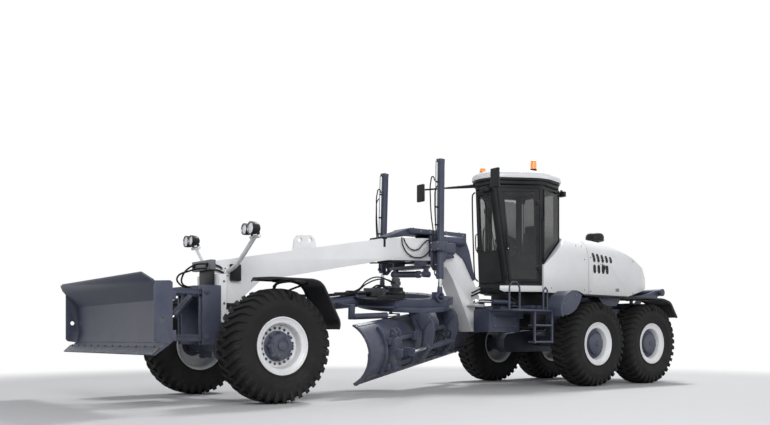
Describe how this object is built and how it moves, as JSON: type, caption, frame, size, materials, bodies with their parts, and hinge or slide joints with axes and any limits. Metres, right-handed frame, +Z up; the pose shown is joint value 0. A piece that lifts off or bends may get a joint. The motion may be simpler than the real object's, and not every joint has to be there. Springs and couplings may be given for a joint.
{
  "type": "motor grader",
  "caption": "Six-wheel-drive motor grader with an arched articulated frame, a slung turning blade under it, a front dozer blade, a glazed cab and a rear engine.",
  "frame": {"origin": "on the ground, below the middle of the machine's length and width, as it stands parked", "axes": "+Y towards the rear (engine) end, -Y the way it drives, +X its left side, +Z up"},
  "size_m": [3.2, 11.2782, 4.07],
  "materials": {
    "white_paint": "semi-gloss very light grey paint",
    "navy_paint": "semi-gloss dark slate-blue paint",
    "black_paint": "satin near-black paint",
    "tyre": "matt black rubber",
    "chrome_rod": "polished hard-chrome rod",
    "tinted_glass": "grey-tinted safety glass",
    "cab_trim": "dark grey moulded trim",
    "engine_iron": "painted cast iron"
  },
  "bodies": {
    "chassis": {"rear_frame": "navy_paint", "rear_axle": "navy_paint", "tandem_case_left": "navy_paint", "tandem_case_right": "navy_paint", "engine_block": "engine_iron", "rear_fender_left": "black_paint", "rear_fender_right": "black_paint", "side_steps_left": "navy_paint", "cab_frame": "black_paint", "cab_floor": "white_paint", "cab_roof": "white_paint", "windshield": "tinted_glass", "rear_window": "tinted_glass", "operator_seat": "cab_trim", "control_console": "cab_trim", "rear_cowl": "white_paint", "rear_bumper": "navy_paint"},
    "hood": {"engine_hood": "white_paint"},
    "door_left": {"cab_door_left": "black_paint"},
    "door_right": {"cab_door_right": "black_paint"},
    "front_frame": {"main_frame": "white_paint", "nose_bracket": "navy_paint", "front_axle": "navy_paint", "lift_saddle": "navy_paint", "headlamp_left": "white_paint", "headlamp_right": "white_paint"},
    "steer_knuckle_left": {"steering_knuckle_left": "navy_paint", "front_fender_left": "black_paint"},
    "steer_knuckle_right": {"steering_knuckle_right": "navy_paint", "front_fender_right": "black_paint"},
    "tie_rod": {"tie_rod": "navy_paint"},
    "drawbar": {"drawbar": "navy_paint"},
    "circle": {"circle": "navy_paint"},
    "blade": {"grading_blade": "navy_paint"},
    "lift_barrel_left": {"lift_barrel_left": "navy_paint"},
    "lift_barrel_right": {"lift_barrel_right": "navy_paint"},
    "lift_rod_left": {"lift_rod_left": "chrome_rod"},
    "lift_rod_right": {"lift_rod_right": "chrome_rod"},
    "dozer_lower_link": {"dozer_lower_link": "navy_paint"},
    "dozer_upper_link": {"dozer_upper_link": "navy_paint"},
    "dozer_blade": {"dozer_blade": "navy_paint"},
    "dozer_barrel": {"dozer_barrel": "navy_paint"},
    "dozer_rod": {"dozer_rod": "chrome_rod"},
    "articulation_barrel_left": {"articulation_barrel_left": "navy_paint"},
    "articulation_barrel_right": {"articulation_barrel_right": "navy_paint"},
    "articulation_rod_left": {"articulation_rod_left": "chrome_rod"},
    "articulation_rod_right": {"articulation_rod_right": "chrome_rod"},
    "front_wheel_left": {"front_tyre_left": "tyre", "front_rim_left": "white_paint"},
    "front_wheel_right": {"front_tyre_right": "tyre", "front_rim_right": "white_paint"},
    "middle_wheel_left": {"middle_tyre_left": "tyre", "middle_rim_left": "white_paint"},
    "middle_wheel_right": {"middle_tyre_right": "tyre", "middle_rim_right": "white_paint"},
    "rear_wheel_left": {"rear_tyre_left": "tyre", "rear_rim_left": "white_paint"},
    "rear_wheel_right": {"rear_tyre_right": "tyre", "rear_rim_right": "white_paint"}
  },
  "joints": [
    {"name": "articulation", "type": "hinge", "parent": "chassis", "child": "front_frame", "pos_m": [0, 1.06, 1.2], "axis": [0, 0, -1], "range_deg": [-20, 20]},
    {"name": "hood_tilt", "type": "hinge", "parent": "chassis", "child": "hood", "pos_m": [0, 5.24, 1.87], "axis": [-1, 0, 0], "range_deg": [0, 55]},
    {"name": "door_left_swing", "type": "hinge", "parent": "chassis", "child": "door_left", "pos_m": [0.67438, 1.9749, 2.6], "axis": [0, 0, 1], "range_deg": [0, 80]},
    {"name": "door_right_swing", "type": "hinge", "parent": "chassis", "child": "door_right", "pos_m": [-0.67438, 1.9749, 2.6], "axis": [0, 0, -1], "range_deg": [0, 80]},
    {"name": "steer_left", "type": "hinge", "parent": "front_frame", "child": "steer_knuckle_left", "pos_m": [0.88, -3.74, 0.745], "axis": [0, 0, 1], "range_deg": [-35, 35]},
    {"name": "steer_right", "type": "hinge", "parent": "front_frame", "child": "steer_knuckle_right", "pos_m": [-0.88, -3.74, 0.745], "axis": [0, 0, 1], "range_deg": [-35, 35]},
    {"name": "tie_rod_swing", "type": "hinge", "parent": "steer_knuckle_left", "child": "tie_rod", "pos_m": [0.88, -3.38, 0.7], "axis": [0, 0, 1], "range_deg": [-35, 35]},
    {"name": "front_wheel_left_spin", "type": "hinge", "parent": "steer_knuckle_left", "child": "front_wheel_left", "pos_m": [1.2, -3.74, 0.745], "axis": [1, 0, 0], "continuous": true},
    {"name": "front_wheel_right_spin", "type": "hinge", "parent": "steer_knuckle_right", "child": "front_wheel_right", "pos_m": [-1.2, -3.74, 0.745], "axis": [1, 0, 0], "continuous": true},
    {"name": "middle_wheel_left_spin", "type": "hinge", "parent": "chassis", "child": "middle_wheel_left", "pos_m": [1.2, 2.65, 0.745], "axis": [1, 0, 0], "continuous": true},
    {"name": "middle_wheel_right_spin", "type": "hinge", "parent": "chassis", "child": "middle_wheel_right", "pos_m": [-1.2, 2.65, 0.745], "axis": [1, 0, 0], "continuous": true},
    {"name": "rear_wheel_left_spin", "type": "hinge", "parent": "chassis", "child": "rear_wheel_left", "pos_m": [1.2, 4.24, 0.745], "axis": [1, 0, 0], "continuous": true},
    {"name": "rear_wheel_right_spin", "type": "hinge", "parent": "chassis", "child": "rear_wheel_right", "pos_m": [-1.2, 4.24, 0.745], "axis": [1, 0, 0], "continuous": true},
    {"name": "drawbar_lift", "type": "hinge", "parent": "front_frame", "child": "drawbar", "pos_m": [0, -3.34, 1.23], "axis": [1, 0, 0], "range_deg": [-9, 1.5]},
    {"name": "circle_turn", "type": "hinge", "parent": "drawbar", "child": "circle", "pos_m": [0, -0.59429, 1.38351], "axis": [0.1271, -0.0554, 0.9903], "range_deg": [-4, 88]},
    {"name": "blade_shift", "type": "slide", "parent": "circle", "child": "blade", "axis": [-0.4348, 0.8943, 0.1058], "range_m": [-0.51, 0.19]},
    {"name": "lift_swing_left", "type": "hinge", "parent": "front_frame", "child": "lift_barrel_left", "pos_m": [0.74, -0.44, 2.3], "axis": [1, 0, 0], "range_deg": [-0.23, 1.16]},
    {"name": "lift_stroke_left", "type": "slide", "parent": "lift_barrel_left", "child": "lift_rod_left", "axis": [0, -0.0131, -0.9999], "range_m": [-0.0779, 0.4571]},
    {"name": "lift_swing_right", "type": "hinge", "parent": "front_frame", "child": "lift_barrel_right", "pos_m": [-0.74, -0.44, 2.3], "axis": [1, 0, 0], "range_deg": [-0.67, 3.78]},
    {"name": "lift_stroke_right", "type": "slide", "parent": "lift_barrel_right", "child": "lift_rod_right", "axis": [0, -0.0344, -0.9994], "range_m": [-0.0778, 0.4569]},
    {"name": "dozer_lift", "type": "hinge", "parent": "front_frame", "child": "dozer_lower_link", "pos_m": [0, -4.3, 0.85], "axis": [-1, 0, 0], "range_deg": [-42, 8]},
    {"name": "dozer_upper_swing", "type": "hinge", "parent": "front_frame", "child": "dozer_upper_link", "pos_m": [0, -4.3, 1.47], "axis": [-1, 0, 0], "range_deg": [-42.1, 8.1]},
    {"name": "dozer_level", "type": "hinge", "parent": "dozer_lower_link", "child": "dozer_blade", "pos_m": [0, -5.2, 0.85], "axis": [-1, 0, 0], "range_deg": [-8.1, 42.1]},
    {"name": "dozer_cylinder_swing", "type": "hinge", "parent": "front_frame", "child": "dozer_barrel", "pos_m": [0, -4.3, 1.46], "axis": [-1, 0, 0], "range_deg": [-19.53, 3.76]},
    {"name": "dozer_cylinder_stroke", "type": "slide", "parent": "dozer_barrel", "child": "dozer_rod", "axis": [0, -0.681, -0.7323], "range_m": [-0.0505, 0.2566]},
    {"name": "articulation_swing_left", "type": "hinge", "parent": "chassis", "child": "articulation_barrel_left", "pos_m": [0.4, 1.61, 1.475], "axis": [0, 0, 1], "range_deg": [-6.75, 6.75]},
    {"name": "articulation_stroke_left", "type": "slide", "parent": "articulation_barrel_left", "child": "articulation_rod_left", "axis": [-0.0802, -0.9968, 0], "range_m": [-0.1253, 0.1253]},
    {"name": "articulation_swing_right", "type": "hinge", "parent": "chassis", "child": "articulation_barrel_right", "pos_m": [-0.4, 1.61, 1.475], "axis": [0, 0, 1], "range_deg": [-6.75, 6.75]},
    {"name": "articulation_stroke_right", "type": "slide", "parent": "articulation_barrel_right", "child": "articulation_rod_right", "axis": [0.0802, -0.9968, 0], "range_m": [-0.1253, 0.1253]}
  ],
  "couplings": [
    {"joint": "steer_right", "follows": "steer_left", "ratio": 1},
    {"joint": "tie_rod_swing", "follows": "steer_left", "ratio": -1},
    {"joint": "lift_swing_left", "follows": "drawbar_lift", "ratio": -0.12288},
    {"joint": "lift_stroke_left", "follows": "drawbar_lift", "m_per_rad": -2.8975},
    {"joint": "lift_swing_right", "follows": "drawbar_lift", "ratio": -0.41482},
    {"joint": "lift_stroke_right", "follows": "drawbar_lift", "m_per_rad": -2.8959},
    {"joint": "dozer_upper_swing", "follows": "dozer_lift", "ratio": 1},
    {"joint": "dozer_level", "follows": "dozer_lift", "ratio": -1},
    {"joint": "dozer_cylinder_swing", "follows": "dozer_lift", "ratio": 0.4638},
    {"joint": "dozer_cylinder_stroke", "follows": "dozer_lift", "m_per_rad": -0.3473},
    {"joint": "articulation_swing_left", "follows": "articulation", "ratio": -0.335},
    {"joint": "articulation_stroke_left", "follows": "articulation", "m_per_rad": 0.35313},
    {"joint": "articulation_swing_right", "follows": "articulation", "ratio": -0.335},
    {"joint": "articulation_stroke_right", "follows": "articulation", "m_per_rad": -0.35313}
  ]
}
